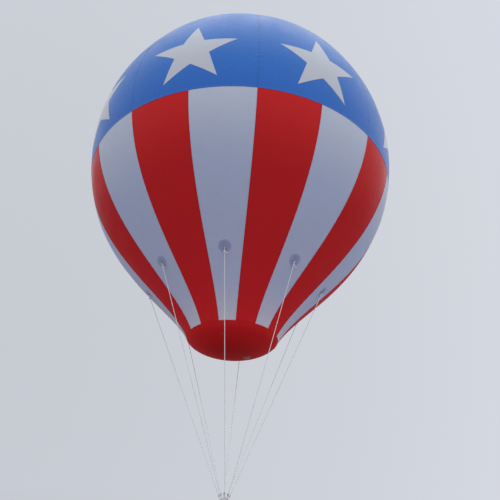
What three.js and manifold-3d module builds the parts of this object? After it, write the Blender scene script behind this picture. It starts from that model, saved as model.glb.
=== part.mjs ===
// A tethered helium advertising balloon, shaped like a hot-air balloon.
// Millimetres, +Z up. The origin is the centre of the widest circle, on the upright axis.
// Azimuth 0 is the front, -Y, and azimuths grow towards +X.

import * as THREE from 'three';
import { mergeVertices } from 'three/addons/utils/BufferGeometryUtils.js';
import Module from 'manifold-3d';

const wasm = await Module();
wasm.setup();

// Envelope outline: a crown ellipse, then a drawn-in body and a shallow cap
const envelopeRadius = 2000;
const crownPoleHeight = 2160;
const bandHeight = -392;
const capSeamRadius = 536;
const capSeamHeight = -2528;
const capPoleHeight = -2674;
const capSeamSlope = 27.2;
const bodyUpperPull = 1090;
const bodyLowerPull = 587;
const capOuterPull = 90;
const capPolePull = 250;
const shellThickness = 10;
const seamGap = 0.3;

// Panels round the envelope
const gorePairs = 8;
const pairAngle = 360 / gorePairs;
const goreAngle = pairAngle / 2;
const seamLean = 1.03;
const facetAngle = 7.5;
const crownRows = 10;
const goreRows = 12;
const capRows = 6;
const crownDiscRows = 2;
const crownDiscRadius = 150;

// Stars, one in the middle of each crown panel
const starHeight = 211;
const starTipRadius = 548;
const starInnerRadius = 222;
const starPoints = 5;

// Sheets welded onto the envelope, and how far their straight cutters reach to each side of it
const appliedThickness = 2;
const cutterReach = 40;
const starCutterReach = 300;

// Load patches, each with a webbing strap and a D-ring
const patchHeight = -1896;
const patchRadius = 75;
const patchSides = 24;
const strapWidth = 30;
const strapLength = 54;
const strapThickness = 5;
const strapLift = 1;
const strapRise = 44;
const ringBarDrop = 6;
const ringBarLift = 5;
const ringBowRadius = 17.5;
const ringWireRadius = 2.5;
const ringBowSteps = 12;
const ringWireSides = 8;

// Bridle lines and the gathering ring that they meet at
const lineRadius = 4;
const lineSides = 8;
const gatherHeight = -4344;
const gatherRadius = 40;
const gatherWireRadius = 5;
const gatherSteps = 48;
const gatherWireSides = 16;
const gatherSpacing = 20;

// Swivel below the gathering ring
const bowRadius = 19;
const bowWireRadius = 5;
const bowLegLength = 20;
const bowSteps = 20;
const bowWireSides = 10;
const flangeRadius = 26;
const flangeThickness = 9;
const barrelRadius = 17;
const barrelLength = 30;
const chamberRadius = 12;
const chamberLength = 10;
const boreRadius = 7.6;
const headRadius = 11.4;
const headLength = 9.4;
const shankRadius = 7;
const shankReach = 10;
const shankSink = 9;
const swivelSides = 24;
const eyeRadius = 27;
const eyeHoleRadius = 13;
const eyeThickness = 14;
const eyeDrop = 26;

// Inflation valve, on the cap beside its pole
const valveAxisRadius = 230;
const valveAzimuth = 135;
const valveFlangeRadius = 60;
const valveNeckRadius = 28;
const valveNeckHeight = 14;
const valveNeckSink = 1;
const valveCapRadius = 34;
const valveCapWall = 5;
const valveCapPlay = 1;
const valveCapRise = 3;
const valveSides = 24;

const white = new THREE.MeshStandardMaterial({ color: 0xe6e7ee, roughness: 0.38, metalness: 0 });
const red = new THREE.MeshStandardMaterial({ color: 0xc01622, roughness: 0.36, metalness: 0 });
const blue = new THREE.MeshStandardMaterial({ color: 0x2f6fd0, roughness: 0.36, metalness: 0 });
const patchGrey = new THREE.MeshStandardMaterial({ color: 0xa2a6c6, roughness: 0.5, metalness: 0 });
const rope = new THREE.MeshStandardMaterial({ color: 0xf2f2ee, roughness: 0.8, metalness: 0 });
const steel = new THREE.MeshStandardMaterial({ color: 0xb9bcc0, roughness: 0.3, metalness: 1 });
const valvePlastic = new THREE.MeshStandardMaterial({ color: 0xb36161, roughness: 0.45, metalness: 0 });

const degrees = (angle) => THREE.MathUtils.degToRad(angle);

// The outline's three curves, in radius and height, each running downwards.
const bandAngle = Math.asin(bandHeight / crownPoleHeight);
const crownDiscAngle = Math.acos(crownDiscRadius / envelopeRadius);
const crownEllipse = (startAngle, endAngle) =>
  new THREE.EllipseCurve(0, 0, envelopeRadius, crownPoleHeight, startAngle, endAngle, true);
const crownCurve = crownEllipse(crownDiscAngle, bandAngle);
const discCurve = crownEllipse(Math.PI / 2, crownDiscAngle);
const bandPoint = crownCurve.getPoint(1);
const bandTangent = crownCurve.getTangent(1);
const capSeamPoint = new THREE.Vector2(capSeamRadius, capSeamHeight);
const capSeamTangent = new THREE.Vector2(0, -1).rotateAround(new THREE.Vector2(), -degrees(capSeamSlope));
const bodyCurve = new THREE.CubicBezierCurve(
  bandPoint,
  bandPoint.clone().addScaledVector(bandTangent, bodyUpperPull),
  capSeamPoint.clone().addScaledVector(capSeamTangent, -bodyLowerPull),
  capSeamPoint,
);
const capCurve = new THREE.CubicBezierCurve(
  capSeamPoint,
  capSeamPoint.clone().addScaledVector(capSeamTangent, capOuterPull),
  new THREE.Vector2(capPolePull, capPoleHeight),
  new THREE.Vector2(0, capPoleHeight),
);

// A curve's point, moved outwards by an offset, with the unit vectors along and off the envelope there.
function outlinePoint(curve, u, offset = 0) {
  const along = curve.getTangentAt(u);
  const normal = new THREE.Vector2(-along.y, along.x);
  const point = curve.getPointAt(u).addScaledVector(normal, offset);
  return { point, along, normal };
}

// The place along a downward curve where a test on its point first turns true, by halving.
const halvings = 40;

function placeAlong(curve, isPast) {
  let low = 0;
  let high = 1;
  for (let i = 0; i < halvings; i += 1) {
    const middle = (low + high) / 2;
    if (isPast(curve.getPointAt(middle))) high = middle;
    else low = middle;
  }
  return high;
}

const atHeight = (curve, height) => placeAlong(curve, (point) => point.y <= height);

function around(radius, height, azimuth) {
  return new THREE.Vector3(radius * Math.sin(azimuth), -radius * Math.cos(azimuth), height);
}

// A curved sheet between two offsets from the envelope's outer face, centred on azimuth 0.
// halfAngle gives half its width in degrees at each place along the curve.
function sheetGeometry({ curve, rows, columns, halfAngle, inner, outer }) {
  const trim = seamGap / 2 / curve.getLength();
  const positions = [];
  for (const offset of [outer, inner]) {
    for (let i = 0; i <= rows; i += 1) {
      const u = THREE.MathUtils.lerp(trim, 1 - trim, i / rows);
      const { point } = outlinePoint(curve, u, offset);
      const half = degrees(halfAngle(u)) - seamGap / 2 / outlinePoint(curve, u).point.x;
      for (let j = 0; j <= columns; j += 1) {
        positions.push(...around(point.x, point.y, half * ((2 * j) / columns - 1)));
      }
    }
  }
  const geometry = new THREE.BufferGeometry();
  geometry.setAttribute('position', new THREE.Float32BufferAttribute(positions, 3));
  geometry.setIndex(sheetFaces(rows, columns));
  geometry.computeVertexNormals();
  return geometry;
}

function sheetFaces(rows, columns) {
  const layer = (rows + 1) * (columns + 1);
  const at = (side, i, j) => side * layer + i * (columns + 1) + j;
  const faces = [];
  const quad = (a, b, c, d) => faces.push(a, b, c, a, c, d);
  for (let i = 0; i < rows; i += 1) {
    for (let j = 0; j < columns; j += 1) {
      quad(at(0, i, j), at(0, i + 1, j), at(0, i + 1, j + 1), at(0, i, j + 1));
      faces.push(at(1, i, j), at(1, i + 1, j + 1), at(1, i + 1, j));
      faces.push(at(1, i, j), at(1, i, j + 1), at(1, i + 1, j + 1));
    }
    quad(at(1, i, 0), at(1, i + 1, 0), at(0, i + 1, 0), at(0, i, 0));
    quad(at(0, i, columns), at(0, i + 1, columns), at(1, i + 1, columns), at(1, i, columns));
  }
  for (let j = 0; j < columns; j += 1) {
    quad(at(1, 0, j), at(0, 0, j), at(0, 0, j + 1), at(1, 0, j + 1));
    quad(at(0, rows, j), at(1, rows, j), at(1, rows, j + 1), at(0, rows, j + 1));
  }
  return faces;
}

const shell = { inner: -shellThickness, outer: 0 };
const applied = { inner: seamGap, outer: seamGap + appliedThickness };
const crownSheet = {
  curve: crownCurve,
  rows: crownRows,
  columns: pairAngle / facetAngle,
  halfAngle: () => pairAngle / 2,
};
// The white gores narrow a little towards the cap, and the red ones widen by as much.
const goreSheet = (widening) => ({
  curve: bodyCurve,
  rows: goreRows,
  columns: goreAngle / facetAngle,
  halfAngle: (u) => goreAngle / 2 + widening * seamLean * u * u,
});

// Places a shape that was made flat, +Z out of the envelope and +Y up it, on the middle of the facet
// at azimuth 0.
function onEnvelope(curve, u) {
  const { point, along, normal } = outlinePoint(curve, u);
  const sideways = new THREE.Vector3(1, 0, 0);
  const upwards = new THREE.Vector3(0, along.x, -along.y);
  const outwards = new THREE.Vector3(0, -normal.x, normal.y);
  return new THREE.Matrix4()
    .makeBasis(sideways, upwards, outwards)
    .setPosition(around(point.x * Math.cos(degrees(facetAngle / 2)), point.y, 0));
}

function toSolid(geometry) {
  const bare = geometry.clone();
  bare.deleteAttribute('normal');
  bare.deleteAttribute('uv');
  const merged = mergeVertices(bare);
  const index = merged.index.array;
  const triangles = [];
  for (let i = 0; i < index.length; i += 3) {
    const [a, b, c] = [index[i], index[i + 1], index[i + 2]];
    if (a !== b && b !== c && c !== a) triangles.push(a, b, c);
  }
  return new wasm.Manifold(new wasm.Mesh({
    numProp: 3,
    vertProperties: new Float32Array(merged.attributes.position.array),
    triVerts: new Uint32Array(triangles),
  }));
}

function toGeometry(solid) {
  const mesh = solid.getMesh();
  const geometry = new THREE.BufferGeometry();
  geometry.setAttribute('position', new THREE.Float32BufferAttribute(mesh.vertProperties, 3));
  geometry.setIndex(Array.from(mesh.triVerts));
  geometry.computeVertexNormals();
  return geometry;
}

// The part of an applied sheet that a straight cutter, centred on the envelope's face, takes out.
function cutOut(sheet, cutter, curve, u) {
  return toSolid(sheet).intersect(toSolid(cutter.applyMatrix4(onEnvelope(curve, u))));
}

function discGeometry(radius, bottom, top, sides) {
  return new THREE.CylinderGeometry(radius, radius, top - bottom, sides)
    .rotateX(Math.PI / 2)
    .translate(0, 0, (top + bottom) / 2);
}

// A closed outline of radius and height points, turned round the upright axis.
// It starts low on the axis and climbs its outer side.
function turned(outline, sides, startAngle = 0) {
  const points = outline.map(([radius, height]) => new THREE.Vector2(radius, height));
  return new THREE.LatheGeometry(points, sides, startAngle).rotateX(Math.PI / 2);
}

// A round sheet made from a curve that reaches the axis, its facets in line with the panels'.
// strokes gives each face's offset from the curve, and the places along it between which the face runs.
function roundSheet(curve, rows, strokes) {
  const outline = [];
  for (const [offset, start, end] of strokes) {
    for (let i = 0; i <= rows; i += 1) {
      const { point } = outlinePoint(curve, THREE.MathUtils.lerp(start, end, i / rows), offset);
      outline.push([Math.max(point.x, 0), point.y]);
    }
  }
  return turned(outline, 360 / facetAngle, degrees(facetAngle / 2));
}

// Two straight legs joined by a half circle over them, as a path in the XZ plane that starts low at +X.
class Hoop extends THREE.Curve {
  constructor(radius, legLength) {
    super();
    this.radius = radius;
    this.legLength = legLength;
  }

  getPoint(t, target = new THREE.Vector3()) {
    const arcLength = Math.PI * this.radius;
    const travelled = t * (arcLength + 2 * this.legLength);
    const pastLeg = travelled - this.legLength;
    if (pastLeg < 0) return target.set(this.radius, 0, pastLeg);
    if (pastLeg > arcLength) return target.set(-this.radius, 0, arcLength - pastLeg);
    const angle = pastLeg / this.radius;
    return target.set(this.radius * Math.cos(angle), 0, this.radius * Math.sin(angle));
  }
}

function wire(path, radius, steps, sides) {
  const section = new THREE.Shape();
  for (let i = 0; i < sides; i += 1) {
    const angle = (2 * Math.PI * i) / sides;
    const move = i === 0 ? 'moveTo' : 'lineTo';
    section[move](radius * Math.cos(angle), radius * Math.sin(angle));
  }
  return new THREE.ExtrudeGeometry(section, { steps, bevelEnabled: false, extrudePath: path });
}

function crownDisc() {
  const rim = 1 - seamGap / 2 / discCurve.getLength();
  return roundSheet(discCurve, crownDiscRows, [[shell.inner, 0, rim], [shell.outer, rim, 0]]);
}

function capSheet({ inner, outer }) {
  const rim = seamGap / capCurve.getLength();
  return roundSheet(capCurve, capRows, [[outer, 1, rim], [inner, rim, 1]]);
}

function star() {
  const outline = new THREE.Shape();
  for (let i = 0; i < 2 * starPoints; i += 1) {
    const radius = i % 2 === 0 ? starTipRadius : starInnerRadius;
    const angle = Math.PI / 2 + (Math.PI * i) / starPoints;
    const move = i === 0 ? 'moveTo' : 'lineTo';
    outline[move](radius * Math.cos(angle), radius * Math.sin(angle));
  }
  const cutter = new THREE.ExtrudeGeometry(outline, { depth: 2 * starCutterReach, bevelEnabled: false })
    .translate(0, 0, -starCutterReach);
  const sheet = sheetGeometry({ ...crownSheet, ...applied });
  return toGeometry(cutOut(sheet, cutter, crownCurve, atHeight(crownCurve, starHeight)));
}

// The load patch's own frame, and where its D-ring's bar lies.
const patchPlace = atHeight(bodyCurve, patchHeight);
const patchFrame = onEnvelope(bodyCurve, patchPlace);
const ringBar = new THREE.Vector3(0, -ringBarDrop, ringBarLift).applyMatrix4(patchFrame);
const gatherPoint = new THREE.Vector3(0, 0, gatherHeight);
const pullDirection = gatherPoint.clone().sub(ringBar).normalize();
const ringApex = ringBar.clone().addScaledVector(pullDirection, ringBowRadius);

function dRing() {
  const sideways = new THREE.Vector3(1, 0, 0);
  const across = pullDirection.clone().cross(sideways);
  const place = new THREE.Matrix4().makeBasis(sideways, across, pullDirection).setPosition(ringBar);
  const bow = wire(new Hoop(ringBowRadius, 0), ringWireRadius, ringBowSteps, ringWireSides)
    .applyMatrix4(place);
  const bar = new THREE.CylinderGeometry(ringWireRadius, ringWireRadius, 2 * ringBowRadius, ringWireSides)
    .rotateZ(Math.PI / 2)
    .applyMatrix4(place);
  return toSolid(bow).add(toSolid(bar));
}

function loadPatch() {
  const sheet = sheetGeometry({ ...goreSheet(-1), ...applied });
  const cutter = discGeometry(patchRadius, -cutterReach, cutterReach, patchSides);
  const disc = cutOut(sheet, cutter, bodyCurve, patchPlace);
  const strap = new THREE.BoxGeometry(strapWidth, strapLength, strapThickness)
    .translate(0, strapRise - strapLength / 2, seamGap + strapLift + strapThickness / 2)
    .applyMatrix4(patchFrame);
  return toGeometry(disc.add(toSolid(strap)).add(dRing()));
}

// The bridle lines in their order along the top of the gathering ring, from +X to -X.
const gatherOrder = [2, 1, 3, 0, 4, 5, 7, 6];

function gatherSeat(lineIndex) {
  const step = (gatherOrder.length - 1) / 2 - gatherOrder.indexOf(lineIndex);
  const angle = degrees(step * gatherSpacing);
  const seat = new THREE.Vector3(Math.sin(angle), 0, Math.cos(angle)).multiplyScalar(gatherRadius);
  const wireDirection = new THREE.Vector3(Math.cos(angle), 0, -Math.sin(angle));
  return { seat: seat.add(gatherPoint), wireDirection };
}

// A straight taut line, its square-cut lower end just clear of the ring's wire.
function bridleLine(lineIndex) {
  const upright = new THREE.Vector3(0, 0, 1);
  const top = ringApex.clone().applyAxisAngle(upright, degrees(pairAngle * lineIndex));
  const { seat, wireDirection } = gatherSeat(lineIndex);
  const direction = top.clone().sub(seat).normalize();
  const lean = Math.asin(Math.abs(direction.dot(wireDirection)));
  const clearBelow = gatherWireRadius / Math.cos(lean) + lineRadius * Math.tan(lean) + seamGap;
  const bottom = seat.clone().addScaledVector(direction, clearBelow);
  const length = top.distanceTo(bottom) - ringWireRadius - seamGap;
  return new THREE.CylinderGeometry(lineRadius, lineRadius, length, lineSides)
    .translate(0, length / 2, 0)
    .applyQuaternion(new THREE.Quaternion().setFromUnitVectors(new THREE.Vector3(0, 1, 0), direction))
    .translate(...bottom);
}

function gatheringRing() {
  return new THREE.TorusGeometry(gatherRadius, gatherWireRadius, gatherWireSides, gatherSteps)
    .rotateX(Math.PI / 2)
    .translate(0, 0, gatherHeight);
}

// The swivel hangs by its bow from the bottom of the gathering ring.
const ringBottom = gatherHeight - gatherRadius;
const bowCentreHeight = ringBottom + gatherWireRadius + seamGap + bowWireRadius - bowRadius;
const flangeTop = bowCentreHeight - bowLegLength;
const barrelBottom = flangeTop - flangeThickness - barrelLength;
const ledgeHeight = barrelBottom + (barrelLength - chamberLength) / 2;
const eyeCentreHeight = barrelBottom - shankReach - eyeDrop;

function swivelBody() {
  const chamberTop = ledgeHeight + chamberLength;
  const flangeBottom = flangeTop - flangeThickness;
  const barrel = turned([
    [0, chamberTop],
    [chamberRadius, chamberTop],
    [chamberRadius, ledgeHeight],
    [boreRadius, ledgeHeight],
    [boreRadius, barrelBottom],
    [barrelRadius, barrelBottom],
    [barrelRadius, flangeBottom],
    [flangeRadius, flangeBottom],
    [flangeRadius, flangeTop],
    [0, flangeTop],
  ], swivelSides);
  const sunk = flangeThickness / 2;
  const bow = wire(new Hoop(bowRadius, bowLegLength + sunk), bowWireRadius, bowSteps, bowWireSides)
    .rotateZ(Math.PI / 2)
    .translate(0, 0, bowCentreHeight);
  return toGeometry(toSolid(barrel).add(toSolid(bow)));
}

function swivelEye() {
  const headBottom = ledgeHeight + seamGap;
  const shankBottom = eyeCentreHeight + eyeRadius - shankSink;
  const pin = turned([
    [0, shankBottom],
    [shankRadius, shankBottom],
    [shankRadius, headBottom],
    [headRadius, headBottom],
    [headRadius, headBottom + headLength],
    [0, headBottom + headLength],
  ], swivelSides);
  const outline = new THREE.Shape().absarc(0, 0, eyeRadius, 0, 2 * Math.PI);
  outline.holes.push(new THREE.Path().absarc(0, 0, eyeHoleRadius, 0, 2 * Math.PI));
  const plate = new THREE.ExtrudeGeometry(outline, {
    depth: eyeThickness,
    bevelEnabled: false,
    curveSegments: swivelSides,
  }).translate(0, 0, -eyeThickness / 2).rotateX(Math.PI / 2).translate(0, 0, eyeCentreHeight);
  return toGeometry(toSolid(pin).add(toSolid(plate)));
}

const valvePlace = placeAlong(capCurve, (point) => point.x <= valveAxisRadius);
const valveSeat = seamGap + appliedThickness;

function inflationValve() {
  const cutter = discGeometry(valveFlangeRadius, -cutterReach, cutterReach, valveSides);
  const flange = cutOut(capSheet(applied), cutter, capCurve, valvePlace);
  const neckBottom = valveSeat - valveNeckSink;
  const neck = discGeometry(valveNeckRadius, neckBottom, valveSeat + valveNeckHeight, valveSides)
    .applyMatrix4(onEnvelope(capCurve, valvePlace));
  return toGeometry(flange.add(toSolid(neck)));
}

function valveCap() {
  const innerRadius = valveNeckRadius + valveCapPlay;
  const bottom = valveSeat + valveCapRise;
  const top = valveSeat + valveNeckHeight + seamGap + valveCapWall;
  return turned([
    [0, top - valveCapWall],
    [innerRadius, top - valveCapWall],
    [innerRadius, bottom],
    [valveCapRadius, bottom],
    [valveCapRadius, top],
    [0, top],
  ], valveSides).applyMatrix4(onEnvelope(capCurve, valvePlace));
}

const balloon = new THREE.Group();

function addPiece(name, geometry, material, azimuth = 0) {
  const mesh = new THREE.Mesh(geometry, material);
  mesh.name = name;
  mesh.rotation.z = degrees(azimuth);
  balloon.add(mesh);
}

const crownPanel = sheetGeometry({ ...crownSheet, ...shell });
const whiteGore = sheetGeometry({ ...goreSheet(-1), ...shell });
const redGore = sheetGeometry({ ...goreSheet(1), ...shell });
const starPiece = star();
const patchPiece = loadPatch();

for (let i = 0; i < gorePairs; i += 1) {
  const whiteAzimuth = i * pairAngle;
  const redAzimuth = whiteAzimuth + goreAngle;
  const crownAzimuth = whiteAzimuth - goreAngle / 2;
  addPiece(`crown_panel_${i + 1}`, crownPanel, blue, crownAzimuth);
  addPiece(`star_${i + 1}`, starPiece, white, crownAzimuth);
  addPiece(`white_gore_${i + 1}`, whiteGore, white, whiteAzimuth);
  addPiece(`red_gore_${i + 1}`, redGore, red, redAzimuth);
  addPiece(`load_patch_${i + 1}`, patchPiece, patchGrey, whiteAzimuth);
  addPiece(`bridle_line_${i + 1}`, bridleLine(i), rope);
}
addPiece('crown_disc', crownDisc(), blue);
addPiece('bottom_cap', capSheet(shell), red);
addPiece('inflation_valve', inflationValve(), red, valveAzimuth);
addPiece('valve_cap', valveCap(), valvePlastic, valveAzimuth);
addPiece('gathering_ring', gatheringRing(), steel);
addPiece('swivel_body', swivelBody(), steel);
addPiece('swivel_eye', swivelEye(), steel);

export default balloon;
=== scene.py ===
import math

import bpy
import numpy as np
from mathutils import Matrix, Quaternion, Vector


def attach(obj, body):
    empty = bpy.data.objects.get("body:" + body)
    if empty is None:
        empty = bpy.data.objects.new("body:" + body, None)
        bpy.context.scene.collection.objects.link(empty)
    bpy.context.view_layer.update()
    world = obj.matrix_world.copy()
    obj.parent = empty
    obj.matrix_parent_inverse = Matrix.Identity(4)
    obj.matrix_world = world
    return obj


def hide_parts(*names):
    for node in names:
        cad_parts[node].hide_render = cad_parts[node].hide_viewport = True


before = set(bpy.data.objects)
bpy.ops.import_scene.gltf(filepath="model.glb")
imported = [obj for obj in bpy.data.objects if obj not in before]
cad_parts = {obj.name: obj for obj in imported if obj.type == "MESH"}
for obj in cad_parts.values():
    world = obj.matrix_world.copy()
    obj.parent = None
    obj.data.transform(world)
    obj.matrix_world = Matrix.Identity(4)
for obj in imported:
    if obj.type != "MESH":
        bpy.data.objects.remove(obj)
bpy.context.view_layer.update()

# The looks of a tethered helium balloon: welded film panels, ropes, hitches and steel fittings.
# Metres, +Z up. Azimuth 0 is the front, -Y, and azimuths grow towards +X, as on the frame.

BODY = "balloon"
EYE_BODY = "tether_swivel"
PAIRS = 8
PAIR_ANGLE = 2 * math.pi / PAIRS
GORE_ANGLE = PAIR_ANGLE / 2
CROWN_TURN = -GORE_ANGLE / 2

# Envelope outline, the same curves as the frame's panels
ENVELOPE_RADIUS = 2.0
CROWN_POLE_HEIGHT = 2.16
BAND_HEIGHT = -0.392
CAP_SEAM_RADIUS = 0.536
CAP_SEAM_HEIGHT = -2.528
CAP_POLE_HEIGHT = -2.674
CAP_SEAM_SLOPE = math.radians(27.2)
BODY_UPPER_PULL = 1.090
BODY_LOWER_PULL = 0.587
CAP_OUTER_PULL = 0.090
CAP_POLE_PULL = 0.250
SEAM_LEAN = math.radians(1.03)
CROWN_DISC_RADIUS = 0.150
OUTLINE_SAMPLES = 1200

# Camera, placed so that the balloon lies in the picture as it does in the photograph
CAMERA_DISTANCE = 7.119
CAMERA_AZIMUTH = math.radians(7.246)
CAMERA_HEIGHT = -5.783
CAMERA_PITCH = math.radians(32.414)
CAMERA_YAW = math.radians(1.356)
CAMERA_ROLL = math.radians(2.176)
CAMERA_LENS = 47.52
CAMERA_SENSOR = 36.0
CAMERA_ABOVE_FLOOR = 0.03
FLOOR_HEIGHT = CAMERA_HEIGHT - CAMERA_ABOVE_FLOOR
FLOOR_SIZE = 240.0


# Plain geometry

def unit(v):
    return v / np.linalg.norm(v)


def unit_rows(rows):
    return rows / np.linalg.norm(rows, axis=1)[:, None]


def full_turn(count):
    """Angles spread evenly round a whole turn."""
    return np.linspace(0, 2 * math.pi, count, endpoint=False)


def arc(radius, start, end, count):
    """Flat points on an arc round the origin, between two angles in degrees."""
    angle = np.radians(np.linspace(start, end, count))
    return np.stack([radius * np.cos(angle), radius * np.sin(angle)], -1)


def circle(radius, sides):
    return arc(radius, 0, 360, sides + 1)[:-1]


def from_middle(angle, period):
    """The angle from the nearest multiple of period."""
    return (angle + period / 2) % period - period / 2


def around(radius, height, azimuth):
    return np.stack(np.broadcast_arrays(radius * np.sin(azimuth), -radius * np.cos(azimuth), height), -1)


def polar(place):
    """The radius and the azimuth of places."""
    return np.hypot(place[..., 0], place[..., 1]), np.arctan2(place[..., 0], -place[..., 1])


def fade(x, start, end, softness):
    """1 between start and end, and 0 outside them, over a distance of softness inside each."""
    return np.clip((x - start) / softness, 0, 1) * np.clip((end - x) / softness, 0, 1)


def hump(distance, reach):
    """1 at no distance, falling smoothly to 0 at about twice the reach."""
    return np.exp(-(distance / reach) ** 2)


def bezier(points, count):
    t = np.linspace(0, 1, count)[:, None]
    p0, p1, p2, p3 = (np.array(p, float) for p in points)
    return (1 - t) ** 3 * p0 + 3 * (1 - t) ** 2 * t * p1 + 3 * (1 - t) * t ** 2 * p2 + t ** 3 * p3


# Shape of the inflated envelope

class Outline:
    """The envelope's outer face as radius and height, by the distance run down it from the crown's pole."""

    def __init__(self):
        band_angle = math.asin(BAND_HEIGHT / CROWN_POLE_HEIGHT)
        angle = np.linspace(math.pi / 2, band_angle, OUTLINE_SAMPLES)
        crown = np.stack([ENVELOPE_RADIUS * np.cos(angle), CROWN_POLE_HEIGHT * np.sin(angle)], -1)
        band = crown[-1]
        band_run = unit(np.array([ENVELOPE_RADIUS * math.sin(band_angle),
                                  -CROWN_POLE_HEIGHT * math.cos(band_angle)]))
        seam = np.array([CAP_SEAM_RADIUS, CAP_SEAM_HEIGHT])
        seam_run = np.array([-math.sin(CAP_SEAM_SLOPE), -math.cos(CAP_SEAM_SLOPE)])
        body = bezier([band, band + BODY_UPPER_PULL * band_run, seam - BODY_LOWER_PULL * seam_run, seam],
                      OUTLINE_SAMPLES)
        cap = bezier([seam, seam + CAP_OUTER_PULL * seam_run, (CAP_POLE_PULL, CAP_POLE_HEIGHT),
                      (0, CAP_POLE_HEIGHT)], OUTLINE_SAMPLES)
        points = np.concatenate([crown, body[1:], cap[1:]])
        self.s = distances(points)
        self.radius = np.maximum(points[:, 0], 0)
        self.height = points[:, 1]
        run = unit_rows(np.gradient(points, self.s, axis=0))
        self.out_radius = -run[:, 1]
        self.out_height = run[:, 0]
        self.band = self.s[OUTLINE_SAMPLES - 1]
        self.cap = self.s[2 * OUTLINE_SAMPLES - 2]
        self.end = self.s[-1]

    def at(self, s):
        """Radius and height, and the outward direction as radius and height, at distances s."""
        return [np.interp(s, self.s, v) for v in (self.radius, self.height, self.out_radius, self.out_height)]

    def at_height(self, height):
        return np.interp(-np.asarray(height), -self.height, self.s)

    def at_crown_radius(self, radius):
        upper = OUTLINE_SAMPLES // 2
        return float(np.interp(radius, self.radius[:upper], self.s[:upper]))

    def at_cap_radius(self, radius):
        return np.interp(-np.asarray(radius), -self.radius[-OUTLINE_SAMPLES:], self.s[-OUTLINE_SAMPLES:])


def distances(path):
    """The distance run along a path at each of its points."""
    return np.concatenate([[0], np.cumsum(np.linalg.norm(np.diff(path, axis=0), axis=1))])


OUTLINE = Outline()
CROWN_DISC_S = OUTLINE.at_crown_radius(CROWN_DISC_RADIUS)


def white_half_angle(s):
    """Half the width of a white gore, as an angle. It narrows a little towards the cap."""
    u = np.clip((s - OUTLINE.band) / (OUTLINE.cap - OUTLINE.band), 0, 1)
    return GORE_ANGLE / 2 - SEAM_LEAN * u ** 2


def red_half_angle(s):
    return GORE_ANGLE - white_half_angle(s)


def crown_half_angle(s):
    return np.full(np.shape(s), PAIR_ANGLE / 2)


FAR_FROM_SEAM = 1.0


def seam_fields(azimuth, s):
    """For places on the envelope: the distance to the nearest upright seam, and how far across its
    panel the place is, from -1 to 1."""
    radius = OUTLINE.at(s)[0]
    from_panel = from_middle(azimuth - CROWN_TURN, PAIR_ANGLE)
    crown_gap = (PAIR_ANGLE / 2 - np.abs(from_panel)) * radius
    crown_across = from_panel / (PAIR_ANGLE / 2)
    from_white = np.abs(from_middle(azimuth, PAIR_ANGLE))
    half = white_half_angle(s)
    gore_gap = np.abs(from_white - half) * radius
    red_across = (from_white - GORE_ANGLE) / (GORE_ANGLE - half)
    gore_across = np.where(from_white < half, from_white / half, red_across)
    on_crown = s < OUTLINE.band
    gap = np.where(on_crown, crown_gap, np.where(s > OUTLINE.cap, FAR_FROM_SEAM, gore_gap))
    return gap, np.where(on_crown, crown_across, gore_across)


CROWN_SWELL = 0.007
CROWN_SWELL_END = 0.55
GORE_SWELL = 0.005
GORE_SWELL_END = 0.35
CAP_SWELL = 0.014
PUCKER_HEIGHT = 0.0011
PUCKER_LENGTH = 0.078
PUCKER_REACH = 0.045
PUCKER_END = 0.06
RIM_PUCKERS = 44
RIM_SIDE_PUCKERS = 29
RIM_PUCKER_GROUPS = 5
RIM_UNEVENNESS = 0.4
RIM_PUCKER_HEIGHT = 0.0016
RIM_PUCKER_REACH = 0.055
PATCH_HEIGHT = -1.896
PATCH_RADIUS = 0.075
PATCH_S = float(OUTLINE.at_height(PATCH_HEIGHT))
PULL_FLAT_REACH = 0.35
PULL_LIFT = 0.0015
PULL_LIFT_REACH = 0.12
PULL_FOLDS = 9
PULL_FOLD_HEIGHT = 0.0016
PULL_FOLD_REACH = 0.32
PULL_FOLD_START = PATCH_RADIUS + 0.01
PULL_FOLD_GROWTH = 0.10
PULL_FAN_NARROWING = 0.8
PULL_FAN_BEND = 3


def wandering_wave(x, seed):
    """A smooth wave between -1 and 1 along x. Slower waves make its length and height wander."""
    slow = np.sin(0.173 * x + 1.7 * seed) + np.sin(0.071 * x + 0.9 * seed)
    return np.sin(x + 1.3 * slow + seed) * (0.62 + 0.38 * np.sin(0.117 * x + 2.3 * seed))


def seam_puckers(azimuth, s, gap):
    """Small waves beside the upright seams, which end before the panels do."""
    seam_number = np.round(azimuth / GORE_ANGLE + 0.5) % (2 * PAIRS)
    on_crown = fade(s, CROWN_DISC_S, OUTLINE.band, PUCKER_END)
    on_gores = fade(s, OUTLINE.band, OUTLINE.cap, PUCKER_END)
    waves = wandering_wave(2 * math.pi * s / PUCKER_LENGTH, seam_number)
    return PUCKER_HEIGHT * hump(gap, PUCKER_REACH) * np.maximum(on_crown, on_gores) * waves


def rim_puckers(azimuth, s):
    """Uneven waves round the cap's seam."""
    groups = 1 - RIM_UNEVENNESS + RIM_UNEVENNESS * np.sin(RIM_PUCKER_GROUPS * azimuth + 1)
    waves = np.sin(RIM_PUCKERS * azimuth) * groups + RIM_UNEVENNESS * np.sin(RIM_SIDE_PUCKERS * azimuth)
    return RIM_PUCKER_HEIGHT * hump(s - OUTLINE.cap, RIM_PUCKER_REACH) * waves


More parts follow.
